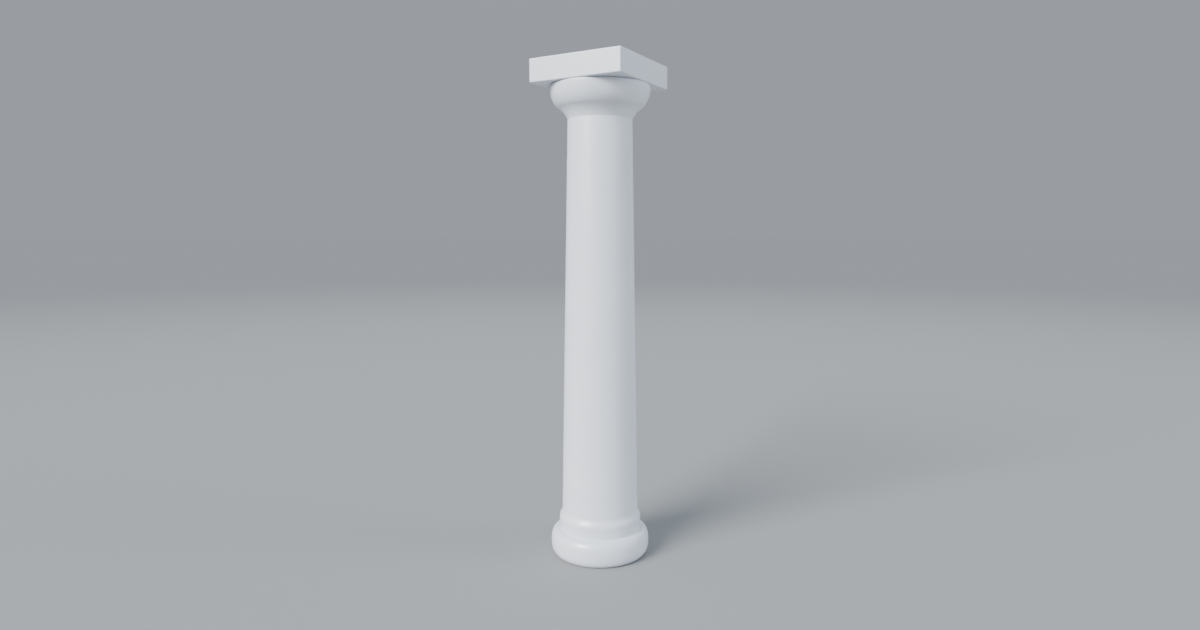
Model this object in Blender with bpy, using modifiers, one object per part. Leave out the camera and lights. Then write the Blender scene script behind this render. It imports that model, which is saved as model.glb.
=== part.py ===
"""Tuscan column in three pieces of white stone: a round base, a plain tapered shaft and a capital.

Metres, +Z up. The axis is Z and the ground is at Z 0. The slab's sides face X and Y.
A profile is a list of (radius, height) points and runs up from the ground.
A lean is the angle of a profile from the vertical, positive where it runs outwards going up.
"""

import math

import bmesh
import bpy

# Whole column
COLUMN_HEIGHT = 2.44
BED_GAP = 0.0003  # left open at each bed, so that the pieces touch nowhere
ROUND_STEPS = 80  # facets around every turned piece

# Shaft: a straight taper, with a sweep at its foot that runs out to the base's band
SHAFT_FOOT_RADIUS = 0.1914  # at the top of the sweep
SHAFT_NECK_RADIUS = 0.1576
SWEEP_RADIUS = 0.050  # of the sweep's round lower half and of its hollow upper half
SWEEP_STEPS = 5  # in each half

# Base: a cushion-shaped torus that stands on the ground, and a low band above it
BAND_HEIGHT = 0.0525
BAND_PROJECTION = 0.0146  # how far the band stands out past the shaft
TORUS_HEIGHT = 0.131
TORUS_PROJECTION = 0.0422  # how far the torus stands out past the band
TORUS_FULLNESS = 2.5  # exponent of the rounding: 2 is an ellipse, more is fuller
TORUS_STEPS = 9  # above and below its widest ring

# Capital: a hollow flare, a full ovolo that turns back in at its top, and a square slab
FLARE_RADIUS = 0.118
FLARE_FOOT_LEAN = math.radians(22)
FLARE_TOP_LEAN = math.radians(56)
FLARE_STEPS = 6
OVOLO_WIDTH = 0.075  # half the width of the ellipse that the ovolo follows
OVOLO_HEIGHT = 0.108  # half the ellipse's height
OVOLO_STEPS = 12
RETURN_WIDTH = 0.014  # half the width of the small ellipse that the return follows
RETURN_HEIGHT = 0.008  # half its height
RETURN_TOP_LEAN = math.radians(-75)
RETURN_STEPS = 5
SLAB_HEIGHT = 0.111
SLAB_OVERHANG = 0.0005  # past the widest ring, at the middle of each side
SLAB_EDGE_RADIUS = 0.005
SLAB_EDGE_STEPS = 3

# Stone
STONE_COLOUR = (0.76, 0.78, 0.80)
STONE_ROUGHNESS = 0.45
SMOOTH_BELOW = math.radians(25)  # neighbouring faces that turn by less are shaded smooth


def elliptic_arc(start, width, height, lean_from, lean_to, steps, bulge=1):
    """Arc of an ellipse with half axes width and height, carried up from start.

    It leaves start at lean_from and ends at lean_to. A bulge of 1 curves outwards, and -1 is hollow.
    Around the ellipse the angle is minus bulge * atan(height / width * tan(lean)).
    """
    first, last = (-bulge * math.atan(height / width * math.tan(lean)) for lean in (lean_from, lean_to))
    middle_radius = start[0] - bulge * width * math.cos(first)
    middle_height = start[1] - height * math.sin(first)
    points = []
    for step in range(steps + 1):
        angle = first + (last - first) * step / steps
        radius = middle_radius + bulge * width * math.cos(angle)
        points.append((radius, middle_height + height * math.sin(angle)))
    return points


def cushion(radius, height, rounding, fullness, steps):
    """Side of a flattened ring that lies on the ground, from its underside up to its top.

    At the angle a, from minus to plus a quarter turn, its radius is
    radius - rounding + rounding * cos(a) ** (2 / fullness), and its height from the middle
    is half the height * sin(a) ** (2 / fullness).
    """
    middle = height / 2
    points = []
    for step in range(-steps, steps + 1):
        angle = math.pi / 2 * step / steps
        across = math.cos(angle) ** (2 / fullness)
        along = math.copysign(abs(math.sin(angle)) ** (2 / fullness), angle)
        points.append((radius - rounding + rounding * across, middle + middle * along))
    return points


def base_profile():
    band_radius = SHAFT_FOOT_RADIUS + BAND_PROJECTION
    torus_radius = band_radius + TORUS_PROJECTION
    torus = cushion(torus_radius, TORUS_HEIGHT, TORUS_PROJECTION, TORUS_FULLNESS, TORUS_STEPS)
    top = TORUS_HEIGHT + BAND_HEIGHT
    return [(0, 0), *torus, (band_radius, top), (0, top)]


def echinus_profile():
    """Flare, ovolo and return above a neck at height 0, up to the slab's underside."""
    neck = (SHAFT_NECK_RADIUS, 0)
    flare = elliptic_arc(
        neck, FLARE_RADIUS, FLARE_RADIUS, FLARE_FOOT_LEAN, FLARE_TOP_LEAN, FLARE_STEPS, bulge=-1
    )
    ovolo = elliptic_arc(flare[-1], OVOLO_WIDTH, OVOLO_HEIGHT, FLARE_TOP_LEAN, 0, OVOLO_STEPS)
    turn_in = elliptic_arc(ovolo[-1], RETURN_WIDTH, RETURN_HEIGHT, 0, RETURN_TOP_LEAN, RETURN_STEPS)
    return [*flare, *ovolo[1:], *turn_in[1:]]


def shaft_profile(foot, neck):
    """Sweep from the band's radius in to the shaft's, and a straight taper above it.

    Both halves of the sweep have one radius. The lower is round and leans in as far as turn, and the
    upper is hollow and comes back to the taper's lean. Their widths add up to the band's projection,
    which gives cos(turn) = (1 + cos(taper) - projection / sweep radius) / 2.
    """
    band_radius = SHAFT_FOOT_RADIUS + BAND_PROJECTION
    taper = math.atan((SHAFT_FOOT_RADIUS - SHAFT_NECK_RADIUS) / (neck - foot))
    turn = math.acos((1 + math.cos(taper) - BAND_PROJECTION / SWEEP_RADIUS) / 2)
    swell = elliptic_arc((band_radius, foot), SWEEP_RADIUS, SWEEP_RADIUS, 0, -turn, SWEEP_STEPS)
    hollow = elliptic_arc(swell[-1], SWEEP_RADIUS, SWEEP_RADIUS, -turn, -taper, SWEEP_STEPS, bulge=-1)
    return [(0, foot), *swell, *hollow[1:], (SHAFT_NECK_RADIUS, neck), (0, neck)]


def clear_scene():
    for item in list(bpy.data.objects):
        bpy.data.objects.remove(item, do_unlink=True)


def new_collection(name):
    collection = bpy.data.collections.new(name)
    bpy.context.scene.collection.children.link(collection)
    return collection


def stone_material(name):
    material = bpy.data.materials.new(name)
    material.use_nodes = True
    shader = material.node_tree.nodes["Principled BSDF"]
    shader.inputs["Base Color"].default_value = (*STONE_COLOUR, 1)
    shader.inputs["Roughness"].default_value = STONE_ROUGHNESS
    shader.inputs["Metallic"].default_value = 0
    return material


def turned_piece(name, profile, collection):
    """Profile in the plane of X and Z, carried once around the Z axis."""
    mesh = bpy.data.meshes.new(name)
    outline = bmesh.new()
    corners = [outline.verts.new((radius, 0, height)) for radius, height in reversed(profile)]
    for upper, lower in zip(corners, corners[1:]):
        outline.edges.new((upper, lower))
    outline.to_mesh(mesh)
    outline.free()
    piece = bpy.data.objects.new(name, mesh)
    collection.objects.link(piece)
    screw = piece.modifiers.new("Turn", "SCREW")
    screw.axis = "Z"
    screw.steps = ROUND_STEPS
    screw.render_steps = ROUND_STEPS
    screw.use_merge_vertices = True
    screw.merge_threshold = 0.00001
    return piece


def square_slab(name, side, collection):
    """Square slab with its top at the column's height and every edge eased to one radius."""
    bpy.ops.mesh.primitive_cube_add(size=1, location=(0, 0, COLUMN_HEIGHT - SLAB_HEIGHT / 2))
    slab = bpy.context.object
    slab.name = name
    slab.scale = (side, side, SLAB_HEIGHT)
    bpy.ops.object.transform_apply(location=False, rotation=False, scale=True)
    for holder in list(slab.users_collection):
        holder.objects.unlink(slab)
    collection.objects.link(slab)
    bevel = slab.modifiers.new("Eased edges", "BEVEL")
    bevel.width = SLAB_EDGE_RADIUS
    bevel.segments = SLAB_EDGE_STEPS
    return slab


def finish(piece, material):
    """Applies the modifiers, then shades the curved faces smooth and keeps the real edges sharp."""
    graph = bpy.context.evaluated_depsgraph_get()
    cage = piece.data
    piece.data = bpy.data.meshes.new_from_object(piece.evaluated_get(graph), depsgraph=graph)
    piece.modifiers.clear()
    bpy.data.meshes.remove(cage)
    piece.data.name = piece.name
    piece.data.shade_smooth()
    piece.data.set_sharp_from_angle(angle=SMOOTH_BELOW)
    piece.data.materials.clear()
    piece.data.materials.append(material)


def build_base(collection):
    base = turned_piece("base", base_profile(), collection)
    finish(base, stone_material("base stone"))


def build_shaft(neck_level, collection):
    foot = TORUS_HEIGHT + BAND_HEIGHT + BED_GAP
    shaft = turned_piece("shaft", shaft_profile(foot, neck_level - BED_GAP), collection)
    finish(shaft, stone_material("shaft stone"))


def build_capital(outline, neck_level, collection, cutters):
    """Turned echinus and square slab, joined into one block.

    The echinus runs on up to the middle of the slab, so that the two overlap.
    """
    widest_radius = max(radius for radius, height in outline)
    top_radius = outline[-1][0]
    slab_middle = COLUMN_HEIGHT - SLAB_HEIGHT / 2
    side = [(radius, neck_level + height) for radius, height in outline]
    profile = [(0, neck_level), *side, (top_radius, slab_middle), (0, slab_middle)]
    echinus = turned_piece("echinus", profile, cutters)
    echinus.hide_render = True
    echinus.display_type = "WIRE"
    capital = square_slab("capital", 2 * (widest_radius + SLAB_OVERHANG), collection)
    join = capital.modifiers.new("Join the echinus", "BOOLEAN")
    join.operation = "UNION"
    join.solver = "EXACT"
    join.object = echinus
    finish(capital, stone_material("capital stone"))


def main():
    clear_scene()
    column = new_collection("tuscan column")
    cutters = new_collection("cutters")
    cutters.hide_render = True
    outline = echinus_profile()
    neck_level = COLUMN_HEIGHT - SLAB_HEIGHT - outline[-1][1]
    build_base(column)
    build_shaft(neck_level, column)
    build_capital(outline, neck_level, column, cutters)


main()
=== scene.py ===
"""Tuscan column of smooth white stone in a plain studio: base, shaft and capital, set one on another."""

import math

import bpy
import numpy as np
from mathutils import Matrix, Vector


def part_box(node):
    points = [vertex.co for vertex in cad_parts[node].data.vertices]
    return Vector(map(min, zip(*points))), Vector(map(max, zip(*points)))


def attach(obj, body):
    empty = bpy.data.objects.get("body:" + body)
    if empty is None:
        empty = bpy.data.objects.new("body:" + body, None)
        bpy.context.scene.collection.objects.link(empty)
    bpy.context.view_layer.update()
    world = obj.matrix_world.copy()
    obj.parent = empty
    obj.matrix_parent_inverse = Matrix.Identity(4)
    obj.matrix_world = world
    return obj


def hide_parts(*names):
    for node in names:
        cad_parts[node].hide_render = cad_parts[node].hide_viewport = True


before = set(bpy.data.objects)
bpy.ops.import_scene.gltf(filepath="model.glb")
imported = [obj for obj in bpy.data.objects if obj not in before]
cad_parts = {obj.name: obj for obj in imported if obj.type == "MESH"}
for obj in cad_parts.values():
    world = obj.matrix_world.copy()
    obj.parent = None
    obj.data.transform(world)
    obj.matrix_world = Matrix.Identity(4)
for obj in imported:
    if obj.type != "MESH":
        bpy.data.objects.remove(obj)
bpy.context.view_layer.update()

# Camera
# It stands at two thirds of the column's height, thirty degrees round from the slab's front side,
# and looks gently down at the middle of the column. Its wide angle spans the frame's width.

CAMERA_DISTANCE = 3.700
CAMERA_LEVEL = 1.611
CAMERA_ROUND = math.radians(30)
CAMERA_AIM_LEVEL = 1.2176
CAMERA_WIDE_ANGLE = math.radians(77.69)

camera_data = bpy.data.cameras.new("camera")
camera_data.sensor_fit = "HORIZONTAL"
camera_data.angle = CAMERA_WIDE_ANGLE
camera = bpy.data.objects.new("camera", camera_data)
camera.location = (
    CAMERA_DISTANCE * math.sin(CAMERA_ROUND),
    -CAMERA_DISTANCE * math.cos(CAMERA_ROUND),
    CAMERA_LEVEL,
)
sight = Vector((0, 0, CAMERA_AIM_LEVEL)) - camera.location
camera.rotation_euler = sight.to_track_quat("-Z", "Y").to_euler()
bpy.context.scene.collection.objects.link(camera)
bpy.context.scene.camera = camera

# Base
# One block of white stone, turned on its axis: a cushion-shaped torus that stands on the ground and
# a low upright band above it. The crease between them is softly rounded and the bed is dressed flat.

BASE_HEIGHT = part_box("base")[1][2]
TORUS_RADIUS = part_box("base")[1][0]
TORUS_HEIGHT = 0.131
TORUS_PROJECTION = 0.0422  # how far the torus stands out past the band
TORUS_FULLNESS = 2.5  # exponent of the rounding: 2 is an ellipse, more is fuller
TORUS_ROWS = 30  # above and below the widest ring
BAND_RADIUS = TORUS_RADIUS - TORUS_PROJECTION
BAND_ROWS = 10
CREASE_RADIUS = 0.004
CREASE_REACH = 1.5 * CREASE_RADIUS  # from the band, the stretch of the torus that it replaces
CREASE_ROWS = 8
BED_ARRIS = 0.0004  # taken off the edge of each bed
COLUMNS_ROUND = 384
CRISP_OVER = math.radians(32)  # edges that turn by more stay crisp

LIGHT_STONE = (0.785, 0.81, 0.86, 1)
SHADED_STONE = (0.74, 0.768, 0.823, 1)
BASE_CLOUD_SCALE = 4.5
BASE_ROUGHNESS = 0.31
CLOUD_LIMITS = (0.34, 0.66)  # of the noise, from light stone to shaded
CLOUD_UNEVENNESS = 0.035  # in roughness, either way
GRAIN_SCALE = 600
GRAIN_LIMITS = (0.3, 0.7)
GRAIN_TONE = (0.55, 0.56, 0.58, 1)
GRAIN_STRENGTH = 0.055
GRAIN_UNEVENNESS = 0.03
GRAIN_HEIGHT = 0.10
PIT_SCALE = 170
PIT_LIMITS = (0.68, 0.76)
PIT_TONE = (0.45, 0.44, 0.42, 1)
PIT_STRENGTH = 0.22
PIT_HEIGHT = -0.5
DRESSING_SCALE = 22
DRESSING_HEIGHT = 0.35
RUBBED_TONE = (0.3, 0.3, 0.3, 1)
RUBBED_STRENGTH = 0.35
RUBBED_ROUGHNESS = -0.06
STONE_IOR = 1.5
RELIEF_STRENGTH = 0.35
RELIEF_DEPTH = 0.001


def cushion_side(radius, height, rounding, fullness, count):
    """Side of a flattened ring on the ground, from its underside up, as rows of radius and height.

    At the angle a the radius is radius - rounding + rounding * cos(a) ** (2 / fullness) and the height
    is half the height * (1 + sin(a) ** (2 / fullness)), the power keeping the sign of the sine. Angles
    crowd towards the flat parts, where the power spreads the points most.
    """
    share = np.linspace(0, 1, count)
    upper = math.pi / 2 * share * share * (3 - 2 * share)
    angle = np.concatenate([-upper[:0:-1], upper])
    across = np.cos(angle).clip(0) ** (2 / fullness)
    along = np.sign(angle) * np.abs(np.sin(angle)) ** (2 / fullness)
    return np.column_stack([radius - rounding + rounding * across, height / 2 * (1 + along)])


def elliptic_side(start, width, height, lean_from, lean_to, count, bulge=1):
    """Arc of an ellipse carried up from start, as rows of radius and height.

    The angle round the ellipse is minus bulge * atan(height / width * tan(lean)), and it runs evenly
    from the first lean to the last. A bulge of -1 is hollow.
    """
    leans = np.array([lean_from, lean_to])
    first, last = -bulge * np.arctan(height / width * np.tan(leans))
    angle = np.linspace(first, last, count)
    radius = start[0] + bulge * width * (np.cos(angle) - math.cos(first))
    return np.column_stack([radius, start[1] + height * (np.sin(angle) - math.sin(first))])


def headings_round(count):
    """Unit vectors in plan, spaced evenly once round the Z axis: the cosine and sine of the turn."""
    turn = np.arange(count) * (2 * math.pi / count)
    return np.column_stack([np.cos(turn), np.sin(turn)])


def turned(rows, headings):
    """Points of a turned shape: each row of radius and height set out along every heading."""
    flat = rows[:, None, :1] * headings[None]
    level = np.broadcast_to(rows[:, None, 1:], flat.shape[:2] + (1,))
    return np.concatenate([flat, level], axis=2)


def closed_skin(name, rings, bottom, top, worn):
    """Mesh of rings that run up from the bottom pole to the top pole, with the seam closed.

    rings is an array of ring, column and coordinate. Quads join each ring to the next, the last
    column joins the first, and triangles close both poles. bottom and top are the poles' levels.
    worn is one value per ring: 1 on an eased edge and 0 on a flat.
    """
    count, columns = rings.shape[:2]
    points = np.concatenate([rings.reshape(-1, 3), [(0, 0, bottom), (0, 0, top)]])
    here = np.arange(columns)
    beside = (here + 1) % columns
    lower = (np.arange(count - 1) * columns)[:, None]
    quads = np.stack(
        [lower + here, lower + beside, lower + columns + beside, lower + columns + here], axis=2
    ).reshape(-1, 4)
    first_pole = count * columns
    last_ring = (count - 1) * columns
    under = np.stack([beside, here, np.full(columns, first_pole)], axis=1)
    over = np.stack([last_ring + here, last_ring + beside, np.full(columns, first_pole + 1)], axis=1)
    corners = np.concatenate([quads.ravel(), under.ravel(), over.ravel()])
    sides = np.concatenate([np.full(len(quads), 4), np.full(2 * columns, 3)])
    mesh = bpy.data.meshes.new(name)
    mesh.vertices.add(len(points))
    mesh.vertices.foreach_set("co", points.astype(np.float32).ravel())
    mesh.loops.add(len(corners))
    mesh.loops.foreach_set("vertex_index", corners.astype(np.int32))
    mesh.polygons.add(len(sides))
    starts = np.concatenate([[0], np.cumsum(sides)[:-1]])
    mesh.polygons.foreach_set("loop_start", starts.astype(np.int32))
    mesh.update(calc_edges=True)
    mesh.validate()
    edge_wear = mesh.attributes.new("edge_wear", "FLOAT", "POINT")
    shares = np.concatenate([np.repeat(worn, columns), [0, 0]])
    edge_wear.data.foreach_set("value", shares.astype(np.float32))
    mesh.shade_smooth()
    mesh.set_sharp_from_angle(angle=CRISP_OVER)
    piece = bpy.data.objects.new(name, mesh)
    bpy.context.scene.collection.objects.link(piece)
    return piece


def fed(tree, socket, value):
    """Gives a node's input a value, which is a number, a colour or another node's output."""
    if isinstance(value, bpy.types.NodeSocket):
        tree.links.new(value, socket)
    else:
        socket.default_value = value


def noise(tree, place, scale, detail, roughness):
    """Noise texture at a place on the piece, as a value about one half."""
    node = tree.nodes.new("ShaderNodeTexNoise")
    for name, value in (
        ("Vector", place), ("Scale", scale), ("Detail", detail), ("Roughness", roughness)
    ):
        fed(tree, node.inputs[name], value)
    return node.outputs["Fac"]


def ranged(tree, value, limits, results, interpolation="LINEAR"):
    """Value carried from its two limits to two results, and held between them."""
    node = tree.nodes.new("ShaderNodeMapRange")
    node.clamp = True
    node.interpolation_type = interpolation
    fed(tree, node.inputs["Value"], value)
    for name, number in zip(("From Min", "From Max", "To Min", "To Max"), (*limits, *results)):
        fed(tree, node.inputs[name], number)
    return node.outputs["Result"]


def combined(tree, operation, first, second):
    """Two values put together by one operation, such as a sum or a product."""
    node = tree.nodes.new("ShaderNodeMath")
    node.operation = operation
    fed(tree, node.inputs[0], first)
    fed(tree, node.inputs[1], second)
    return node.outputs["Value"]


def mixed(tree, blend, factor, first, second):
    """First colour with the second blended over it, as strongly as the factor says."""
    node = tree.nodes.new("ShaderNodeMix")
    node.data_type = "RGBA"
    node.blend_type = blend
    fed(tree, node.inputs["Factor"], factor)
    colours = [socket for socket in node.inputs if socket.type == "RGBA"]
    fed(tree, colours[0], first)
    fed(tree, colours[1], second)
    return next(socket for socket in node.outputs if socket.type == "RGBA")


def stone_grain():
    """Group for dressed white stone: tint, roughness and surface height from the place on the piece.

    Clouds two hands wide shift the tint, a fine speckle stands for the grain, and small pits show
    as dark points where a third, sharper noise passes its limit.
    """
    group = bpy.data.node_groups.new("stone grain", "ShaderNodeTree")
    for name, direction, kind in (
        ("Place", "INPUT", "NodeSocketVector"),
        ("Edge wear", "INPUT", "NodeSocketFloat"),
        ("Light stone", "INPUT", "NodeSocketColor"),
        ("Shaded stone", "INPUT", "NodeSocketColor"),
        ("Cloud scale", "INPUT", "NodeSocketFloat"),
        ("Roughness", "INPUT", "NodeSocketFloat"),
        ("Tint", "OUTPUT", "NodeSocketColor"),
        ("Roughness", "OUTPUT", "NodeSocketFloat"),
        ("Height", "OUTPUT", "NodeSocketFloat"),
    ):
        group.interface.new_socket(name, in_out=direction, socket_type=kind)
    given = group.nodes.new("NodeGroupInput").outputs
    result = group.nodes.new("NodeGroupOutput").inputs
    place, worn = given["Place"], given["Edge wear"]

    cloud = noise(group, place, given["Cloud scale"], detail=4, roughness=0.55)
    cloud = ranged(group, cloud, CLOUD_LIMITS, (0, 1))
    grain = noise(group, place, GRAIN_SCALE, detail=2, roughness=0.6)
    pit = noise(group, place, PIT_SCALE, detail=3, roughness=0.7)
    pit = ranged(group, pit, PIT_LIMITS, (0, 1))
    dressing = noise(group, place, DRESSING_SCALE, detail=2, roughness=0.5)

    tint = mixed(group, "MIX", cloud, given["Light stone"], given["Shaded stone"])
    speckle = ranged(group, grain, GRAIN_LIMITS, (GRAIN_STRENGTH, 0))
    tint = mixed(group, "MULTIPLY", speckle, tint, GRAIN_TONE)
    tint = mixed(group, "MULTIPLY", combined(group, "MULTIPLY", pit, PIT_STRENGTH), tint, PIT_TONE)
    rubbed = combined(group, "MULTIPLY", worn, RUBBED_STRENGTH)
    tint = mixed(group, "SCREEN", rubbed, tint, RUBBED_TONE)
    fed(group, result["Tint"], tint)

    uneven = ranged(group, cloud, (0, 1), (-CLOUD_UNEVENNESS, CLOUD_UNEVENNESS))
    grainy = ranged(group, grain, GRAIN_LIMITS, (GRAIN_UNEVENNESS, -GRAIN_UNEVENNESS))
    rough = combined(group, "ADD", given["Roughness"], uneven)
    rough = combined(group, "ADD", rough, grainy)
    rough = combined(group, "ADD", rough, combined(group, "MULTIPLY", worn, RUBBED_ROUGHNESS))
    fed(group, result["Roughness"], rough)

    height = combined(group, "MULTIPLY", dressing, DRESSING_HEIGHT)
    height = combined(group, "ADD", height, combined(group, "MULTIPLY", grain, GRAIN_HEIGHT))
    height = combined(group, "ADD", height, combined(group, "MULTIPLY", pit, PIT_HEIGHT))
    fed(group, result["Height"], height)
    return group


def stone(name, grain_group, light, shaded, cloud_scale, roughness):
    """White stone for one piece: the shared grain with this block's own tints, clouds and roughness."""
    material = bpy.data.materials.new(name)
    material.use_nodes = True
    nodes, links = material.node_tree.nodes, material.node_tree.links
    shader = nodes["Principled BSDF"]
    shader.inputs["IOR"].default_value = STONE_IOR
    place = nodes.new("ShaderNodeTexCoord")
    wear = nodes.new("ShaderNodeAttribute")
    wear.attribute_name = "edge_wear"
    grain = nodes.new("ShaderNodeGroup")
    grain.node_tree = grain_group
    grain.inputs["Light stone"].default_value = light
    grain.inputs["Shaded stone"].default_value = shaded
    grain.inputs["Cloud scale"].default_value = cloud_scale
    grain.inputs["Roughness"].default_value = roughness
    bump = nodes.new("ShaderNodeBump")
    bump.inputs["Strength"].default_value = RELIEF_STRENGTH
    bump.inputs["Distance"].default_value = RELIEF_DEPTH
    links.new(place.outputs["Object"], grain.inputs["Place"])
    links.new(wear.outputs["Fac"], grain.inputs["Edge wear"])
    links.new(grain.outputs["Tint"], shader.inputs["Base Color"])
    links.new(grain.outputs["Roughness"], shader.inputs["Roughness"])
    links.new(grain.outputs["Height"], bump.inputs["Height"])
    links.new(bump.outputs["Normal"], shader.inputs["Normal"])
    return material


torus = cushion_side(TORUS_RADIUS, TORUS_HEIGHT, TORUS_PROJECTION, TORUS_FULLNESS, TORUS_ROWS)
in_crease = (torus[:, 1] > TORUS_HEIGHT / 2) & (torus[:, 0] < BAND_RADIUS + CREASE_REACH)
crease = elliptic_side(
    (BAND_RADIUS + CREASE_RADIUS, TORUS_HEIGHT),
    CREASE_RADIUS,
    CREASE_RADIUS,
    -math.pi / 2,
    0,
    CREASE_ROWS,
    bulge=-1,
)
band_levels = np.linspace(crease[-1, 1], BASE_HEIGHT - BED_ARRIS, BAND_ROWS)[1:]
band = np.column_stack([np.full(len(band_levels), BAND_RADIUS), band_levels])
bed = [[BAND_RADIUS - BED_ARRIS, BASE_HEIGHT], [BAND_RADIUS / 2, BASE_HEIGHT]]
base_rows = np.concatenate([[[BAND_RADIUS / 2, 0]], torus[~in_crease], crease, band, bed])
round_headings = headings_round(COLUMNS_ROUND)
base_rings = turned(base_rows, round_headings)
base = closed_skin("base_stone", base_rings, 0, BASE_HEIGHT, np.zeros(len(base_rings)))
grain_group = stone_grain()
base.data.materials.append(
    stone("base stone", grain_group, LIGHT_STONE, SHADED_STONE, BASE_CLOUD_SCALE, BASE_ROUGHNESS)
)
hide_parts("base")
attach(base, "root")

# Shaft
# One long drum of the same stone, turned to a straight taper with no flutes and rubbed smooth. Its
# foot sweeps out, round below and hollow above, to sit flush on the band that it is bedded on.

SHAFT_FOOT_RADIUS = 0.1914  # at the top of the sweep
SHAFT_NECK_RADIUS = 0.1576
SHAFT_ROWS = 60  # in the straight taper
SWEEP_RADIUS = 0.050  # of the sweep's round lower half and of its hollow upper half
SWEEP_ROWS = 16  # in each half
FOOT_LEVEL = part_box("shaft")[0][2]
NECK_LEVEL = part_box("shaft")[1][2]

SHAFT_SHADED_STONE = (0.745, 0.772, 0.827, 1)
SHAFT_CLOUD_SCALE = 3.2
SHAFT_ROUGHNESS = 0.36


def sweep_side(foot_radius, top_radius, bend_radius, taper, level, count):
    """Side that runs in from foot_radius to top_radius in two equal arcs, as rows of radius and height.

    The lower arc is round and leans in as far as turn, and the upper one is hollow and comes back to
    the taper. Their widths add up to the projection, which gives cos(turn) as half of
    1 + cos(taper) - projection / bend radius.
    """
    turn = math.acos((1 + math.cos(taper) - (foot_radius - top_radius) / bend_radius) / 2)
    swell = elliptic_side((foot_radius, level), bend_radius, bend_radius, 0, -turn, count)
    hollow = elliptic_side(swell[-1], bend_radius, bend_radius, -turn, -taper, count, bulge=-1)
    return np.concatenate([swell, hollow[1:]])


taper = math.atan((SHAFT_FOOT_RADIUS - SHAFT_NECK_RADIUS) / (NECK_LEVEL - FOOT_LEVEL))
sweep = sweep_side(BAND_RADIUS, SHAFT_FOOT_RADIUS, SWEEP_RADIUS, taper, FOOT_LEVEL, SWEEP_ROWS)
sweep[0, 1] += BED_ARRIS  # clears the eased edge of the bed
straight = np.linspace(sweep[-1], (SHAFT_NECK_RADIUS, NECK_LEVEL - BED_ARRIS), SHAFT_ROWS)[1:]
shaft_rows = np.concatenate([
    [[BAND_RADIUS / 2, FOOT_LEVEL], [BAND_RADIUS - BED_ARRIS, FOOT_LEVEL]],
    sweep,
    straight,
    [[SHAFT_NECK_RADIUS - BED_ARRIS, NECK_LEVEL], [SHAFT_NECK_RADIUS / 2, NECK_LEVEL]],
])
shaft_rings = turned(shaft_rows, round_headings)
shaft = closed_skin(
    "shaft_stone", shaft_rings, FOOT_LEVEL, NECK_LEVEL, np.zeros(len(shaft_rings))
)
shaft.data.materials.append(
    stone(
        "shaft stone", grain_group, LIGHT_STONE, SHAFT_SHADED_STONE, SHAFT_CLOUD_SCALE, SHAFT_ROUGHNESS
    )
)
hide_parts("shaft")
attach(shaft, "root")

# Capital
# Echinus and abacus cut from one block: a hollow flare rises from the shaft's neck into a full ovolo,
# which turns back in under a square slab. The slab's edges are eased and catch the light.

CAPITAL_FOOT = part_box("capital")[0][2]
CAPITAL_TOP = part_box("capital")[1][2]
SLAB_SIDE = 2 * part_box("capital")[1][0]
FLARE_RADIUS = 0.118
FLARE_FOOT_LEAN = math.radians(22)  # leans are from the vertical, outwards going up
FLARE_TOP_LEAN = math.radians(56)
FLARE_ROWS = 24
OVOLO_WIDTH = 0.075  # half the width of the ellipse that the ovolo follows
OVOLO_HEIGHT = 0.108  # half the ellipse's height
OVOLO_ROWS = 44
RETURN_WIDTH = 0.014  # half the width of the small ellipse that the return follows
RETURN_HEIGHT = 0.008  # half its height
RETURN_TOP_LEAN = math.radians(-75)
RETURN_ROWS = 14
SLAB_HEIGHT = 0.111
SLAB_EDGE_RADIUS = 0.005
SMALLEST_CORNER = 0.0004  # of a ring drawn in by the whole edge radius
SIDE_STEPS = 84
CORNER_STEPS = 12
EDGE_ROWS = 9
FACE_ROWS = 22
SOFFIT_RINGS = 10
CROWN_SHARES = (0.03, 0.3, 0.7)  # of the way from the top's edge to its middle

CAPITAL_CLOUD_SCALE = 5.0
CAPITAL_ROUGHNESS = 0.31


def rounded_square(side, corner, side_steps, corner_steps):
    """Outline of a square with round corners, as points that run once round it anticlockwise.

    Each quarter is a straight side, split evenly, and then a quarter circle about the corner's centre.
    A quarter turn of the first quarter gives each of the others. It starts at the side that faces +X.
    """
    reach = side / 2 - corner
    along = np.linspace(-reach, reach, side_steps, endpoint=False)
    straight = np.column_stack([np.full(side_steps, side / 2), along])
    turn = np.linspace(0, math.pi / 2, corner_steps, endpoint=False)
    bend = np.column_stack([reach + corner * np.cos(turn), reach + corner * np.sin(turn)])
    quarter = np.concatenate([straight, bend])
    quarters = [quarter]
    for _ in range(3):
        last = quarters[-1]
        quarters.append(np.column_stack([-last[:, 1], last[:, 0]]))
    return np.concatenate(quarters)


def slab_ring(inset, level):
    """Ring of the slab at one level: its outline drawn in by inset, with the corner kept round."""
    corner = max(SLAB_EDGE_RADIUS - inset, SMALLEST_CORNER)
    outline = rounded_square(SLAB_SIDE - 2 * inset, corner, SIDE_STEPS, CORNER_STEPS)
    return np.column_stack([outline, np.full(len(outline), level)])


def morphed(inner, outer, shares):
    """Rings between an inner and an outer ring, each a straight blend of the two by its share."""
    return np.stack([inner + (outer - inner) * share for share in shares])


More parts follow.
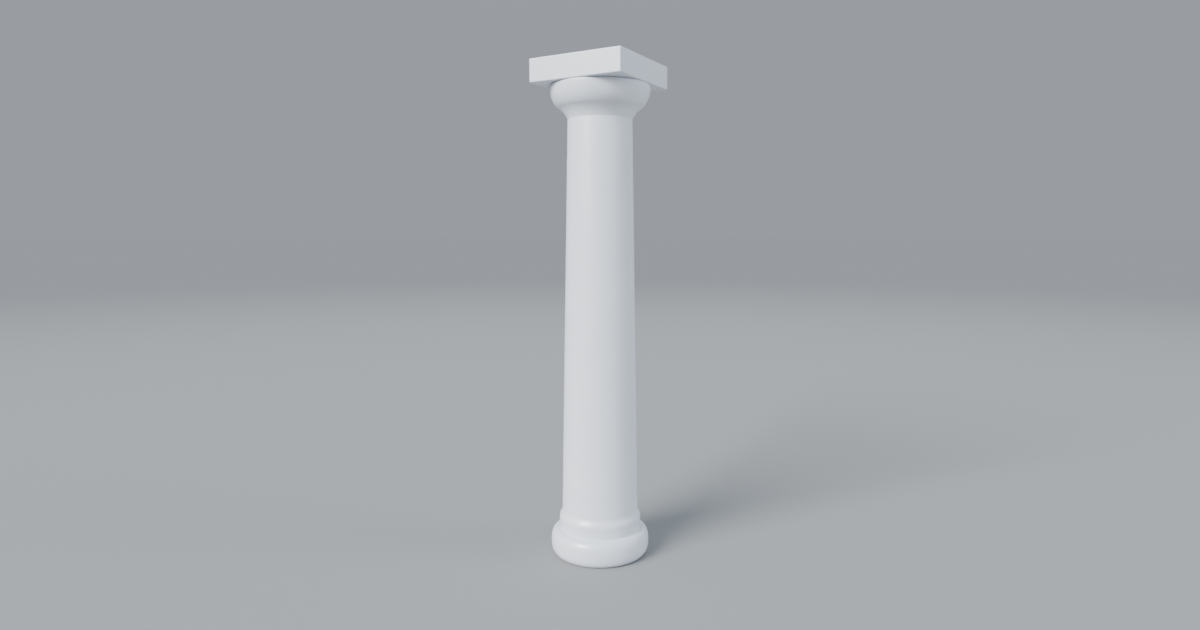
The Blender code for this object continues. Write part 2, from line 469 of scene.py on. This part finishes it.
flare = elliptic_side(
    (SHAFT_NECK_RADIUS, CAPITAL_FOOT),
    FLARE_RADIUS,
    FLARE_RADIUS,
    FLARE_FOOT_LEAN,
    FLARE_TOP_LEAN,
    FLARE_ROWS,
    bulge=-1,
)
ovolo = elliptic_side(flare[-1], OVOLO_WIDTH, OVOLO_HEIGHT, FLARE_TOP_LEAN, 0, OVOLO_ROWS)
turn_in = elliptic_side(ovolo[-1], RETURN_WIDTH, RETURN_HEIGHT, 0, RETURN_TOP_LEAN, RETURN_ROWS)
neck_bed = [[SHAFT_NECK_RADIUS / 2, CAPITAL_FOOT]]
echinus_rows = np.concatenate([neck_bed, flare, ovolo[1:], turn_in[1:]])
slab_outline = rounded_square(SLAB_SIDE, SLAB_EDGE_RADIUS, SIDE_STEPS, CORNER_STEPS)
slab_headings = slab_outline / np.linalg.norm(slab_outline, axis=1, keepdims=True)
echinus_rings = turned(echinus_rows, slab_headings)
slab_underside = CAPITAL_TOP - SLAB_HEIGHT
under_edge = slab_ring(SLAB_EDGE_RADIUS, slab_underside)
soffit = morphed(echinus_rings[-1], under_edge, np.linspace(0, 1, SOFFIT_RINGS + 2)[1:-1])
bend = np.linspace(0, math.pi / 2, EDGE_ROWS)
lower_edge = np.stack([
    slab_ring(
        SLAB_EDGE_RADIUS * (1 - math.sin(turn)),
        slab_underside + SLAB_EDGE_RADIUS * (1 - math.cos(turn)),
    )
    for turn in bend
])
upper_edge = np.stack([
    slab_ring(
        SLAB_EDGE_RADIUS * (1 - math.cos(turn)),
        CAPITAL_TOP - SLAB_EDGE_RADIUS * (1 - math.sin(turn)),
    )
    for turn in bend
])
faces = morphed(lower_edge[-1], upper_edge[0], np.linspace(0, 1, FACE_ROWS + 2)[1:-1])
top_middle = np.broadcast_to([0, 0, CAPITAL_TOP], under_edge.shape)
crown = morphed(upper_edge[-1], top_middle, CROWN_SHARES)
capital_rings = np.concatenate([echinus_rings, soffit, lower_edge, faces, upper_edge, crown])
edge_wear = np.sin(2 * bend)
capital_wear = np.concatenate([
    np.zeros(len(echinus_rings) + len(soffit)),
    edge_wear,
    np.zeros(len(faces)),
    edge_wear,
    np.zeros(len(crown)),
])
capital = closed_skin("capital_stone", capital_rings, CAPITAL_FOOT, CAPITAL_TOP, capital_wear)
capital.data.materials.append(
    stone(
        "capital stone", grain_group, LIGHT_STONE, SHADED_STONE, CAPITAL_CLOUD_SCALE, CAPITAL_ROUGHNESS
    )
)
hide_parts("capital")
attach(capital, "root")

# Floor
# A plain pale floor that isn't part of the column. It is round, and its colour is painted darker with
# distance to the tone of the surround, a painted falloff of light, so that no horizon shows.

FLOOR_RADIUS = 400
FLOOR_SIDES = 128
PALE_PAPER = (0.31, 0.31, 0.31, 1)
# painted shade: the far paper's colour is darker than the near, standing in for light falling off
FAR_PAPER_PAINTED_DARKER = (0.214, 0.214, 0.219, 1)
PAINTED_FALLOFF_STRETCH = (2.5, 26)  # distances from the column between which the paper darkens

floor_rim = turned(np.array([[FLOOR_RADIUS, 0]]), headings_round(FLOOR_SIDES))[0]
floor_mesh = bpy.data.meshes.new("floor")
floor_mesh.from_pydata(floor_rim, [], [range(FLOOR_SIDES)])
floor = bpy.data.objects.new("floor", floor_mesh)
bpy.context.scene.collection.objects.link(floor)
paper = bpy.data.materials.new("studio paper with painted falloff")
paper.use_nodes = True
tree = paper.node_tree
shader = tree.nodes["Principled BSDF"]
shader.inputs["Roughness"].default_value = 1
shader.inputs["Specular IOR Level"].default_value = 0
place = tree.nodes.new("ShaderNodeTexCoord")
distance = tree.nodes.new("ShaderNodeVectorMath")
distance.operation = "LENGTH"
tree.links.new(place.outputs["Object"], distance.inputs[0])
# painted falloff of light: the paper's colour darkens with distance from the column
painted_falloff = ranged(tree, distance.outputs["Value"], PAINTED_FALLOFF_STRETCH, (0, 1), "SMOOTHERSTEP")
tree.links.new(mixed(tree, "MIX", painted_falloff, PALE_PAPER, FAR_PAPER_PAINTED_DARKER), shader.inputs["Base Color"])
floor.data.materials.append(paper)

# Light
# A large soft key stands far off to the front and left, beside a small glint lamp that shows only in
# the stone's reflections. A weak cool fill from the right shows in none. The dome is pale, and
# brightest overhead.

LIGHT_AIM = Vector((0, 0, 1.22))
LIGHT_DISTANCE = 20
KEY_TURN = math.radians(-46.5)  # turns are from the camera, positive to the right
KEY_RISE = math.radians(28)
KEY_WIDTH = math.radians(32)
KEY_STRENGTH = 6.2
KEY_COLOUR = (0.97, 0.99, 1.0)
GLINT_RISE = math.radians(31)
GLINT_WIDTH = math.radians(5)
GLINT_STRENGTH = 4.5
GLINT_COLOUR = (1.0, 1.0, 1.0)
FILL_TURN = math.radians(80)
FILL_RISE = math.radians(12)
FILL_WIDTH = math.radians(27)
FILL_STRENGTH = 1.65
FILL_COLOUR = (0.82, 0.91, 1.0)
HORIZON = (0.35, 0.37, 0.405, 1)
OVERHEAD = (0.76, 0.87, 1.0, 1)
DOME_STRETCH = (0.25, 0.85)  # sines of the rises between which the dome brightens


def lamp(name, turn, rise, width, strength, colour):
    """Far lamp, aimed at the column's middle from a turn and a rise, as wide in the sky as width.

    Its direction from the column is the sine of the bearing and minus its cosine, both shortened by
    the rise's cosine, and the rise's sine.
    """
    bearing = CAMERA_ROUND + turn
    away = Vector((
        math.sin(bearing) * math.cos(rise), -math.cos(bearing) * math.cos(rise), math.sin(rise)
    ))
    data = bpy.data.lights.new(name, "SUN")
    data.energy = strength
    data.color = colour
    data.angle = width
    holder = bpy.data.objects.new(name, data)
    holder.location = LIGHT_AIM + LIGHT_DISTANCE * away
    holder.rotation_euler = (-away).to_track_quat("-Z", "Y").to_euler()
    bpy.context.scene.collection.objects.link(holder)
    return holder


lamp("key", KEY_TURN, KEY_RISE, KEY_WIDTH, KEY_STRENGTH, KEY_COLOUR)
glint = lamp("glint", KEY_TURN, GLINT_RISE, GLINT_WIDTH, GLINT_STRENGTH, GLINT_COLOUR)
glint.visible_diffuse = False
fill = lamp("fill", FILL_TURN, FILL_RISE, FILL_WIDTH, FILL_STRENGTH, FILL_COLOUR)
fill.visible_glossy = False

surround = bpy.data.worlds.new("surround")
surround.use_nodes = True
tree = surround.node_tree
looking = tree.nodes.new("ShaderNodeTexCoord")
direction = tree.nodes.new("ShaderNodeSeparateXYZ")
tree.links.new(looking.outputs["Generated"], direction.inputs["Vector"])
brightening = ranged(tree, direction.outputs["Z"], DOME_STRETCH, (0, 1), "SMOOTHSTEP")
backdrop = tree.nodes["Background"]
tree.links.new(mixed(tree, "MIX", brightening, HORIZON, OVERHEAD), backdrop.inputs["Color"])
backdrop.inputs["Strength"].default_value = 1.0
bpy.context.scene.world = surround
